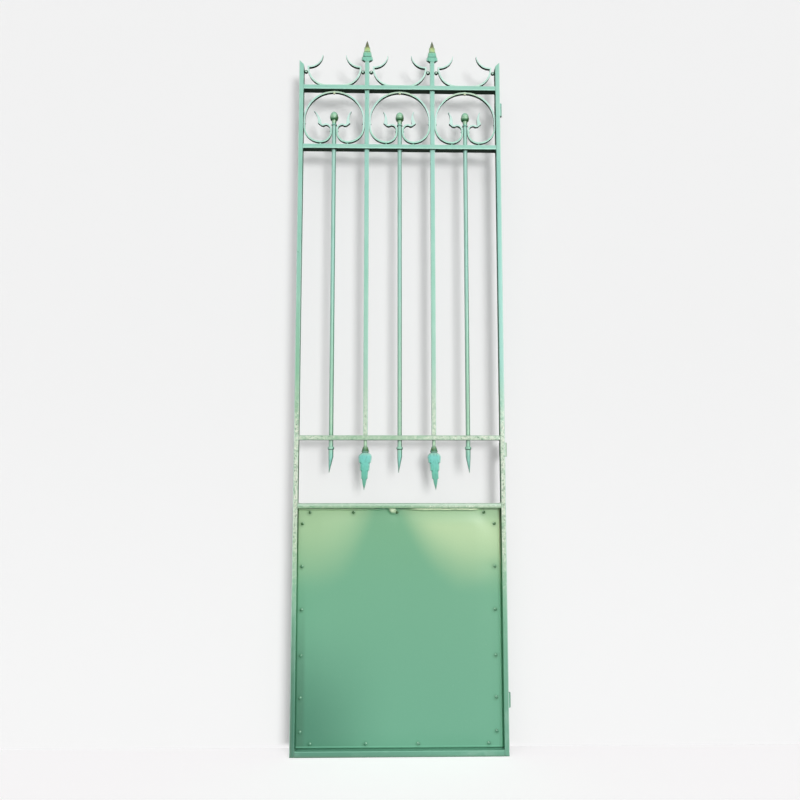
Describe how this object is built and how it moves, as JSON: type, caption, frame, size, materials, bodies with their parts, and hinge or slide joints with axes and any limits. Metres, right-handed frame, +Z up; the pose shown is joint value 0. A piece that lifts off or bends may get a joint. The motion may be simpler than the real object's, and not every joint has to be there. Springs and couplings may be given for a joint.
{
  "type": "metal garden gate",
  "caption": "Tall narrow forged garden gate leaf: spear-topped bars, loop-scroll frieze, horned crest, drop spears and a riveted sheet panel below.",
  "frame": {"origin": "on the outer side face of the hinge stile, at its foot and at mid depth", "axes": "+X out of the hinge stile's side face, towards the missing post, so the leaf reaches along -X; the front faces -Y; +Z up"},
  "size_m": [0.7315, 0.046, 2.482],
  "materials": {
    "frame_paint": "glossy aged enamel with chips, brush marks and mottling",
    "scroll_paint": "glossy aged enamel, paler on edges",
    "finial_paint": "glossy aged enamel with dirt in the recesses",
    "rusted_spear_paint": "enamel worn through to rust and moss brown",
    "panel_paint": "smooth glossy enamel on slightly buckled sheet",
    "panel_edge_paint": "glossy enamel with dirt round the rivets",
    "hinge_paint": "worn enamel with rust at the joints"
  },
  "bodies": {
    "root": {"acorn_1": "finial_paint", "acorn_2": "finial_paint", "acorn_3": "finial_paint", "bottom_rail": "frame_paint", "crest_1": "scroll_paint", "crest_2": "scroll_paint", "crest_3": "scroll_paint", "crest_balls": "scroll_paint", "drop_spear_1": "rusted_spear_paint", "drop_spear_2": "rusted_spear_paint", "drop_spike_1": "finial_paint", "drop_spike_2": "finial_paint", "drop_spike_3": "finial_paint", "frieze_rail": "frame_paint", "hinge_knuckle_high": "hinge_paint", "hinge_knuckle_low": "hinge_paint", "hinge_knuckle_middle": "hinge_paint", "hinge_stile": "frame_paint", "latch_stile": "frame_paint", "lock_rail": "frame_paint", "loop_scroll_1": "scroll_paint", "loop_scroll_2": "scroll_paint", "loop_scroll_3": "scroll_paint", "panel_rivets": "panel_edge_paint", "panel_sheet": "panel_paint", "panel_strip_bottom": "panel_edge_paint", "panel_strip_hinge_side": "panel_edge_paint", "panel_strip_latch_side": "panel_edge_paint", "panel_strip_top": "panel_edge_paint", "round_bar_1": "frame_paint", "round_bar_2": "frame_paint", "round_bar_3": "frame_paint", "scroll_rivets": "scroll_paint", "spear_rail": "frame_paint", "square_bar_1": "frame_paint", "square_bar_2": "frame_paint", "top_rail": "frame_paint", "top_spear_1": "rusted_spear_paint", "top_spear_2": "rusted_spear_paint"}
  },
  "joints": []
}
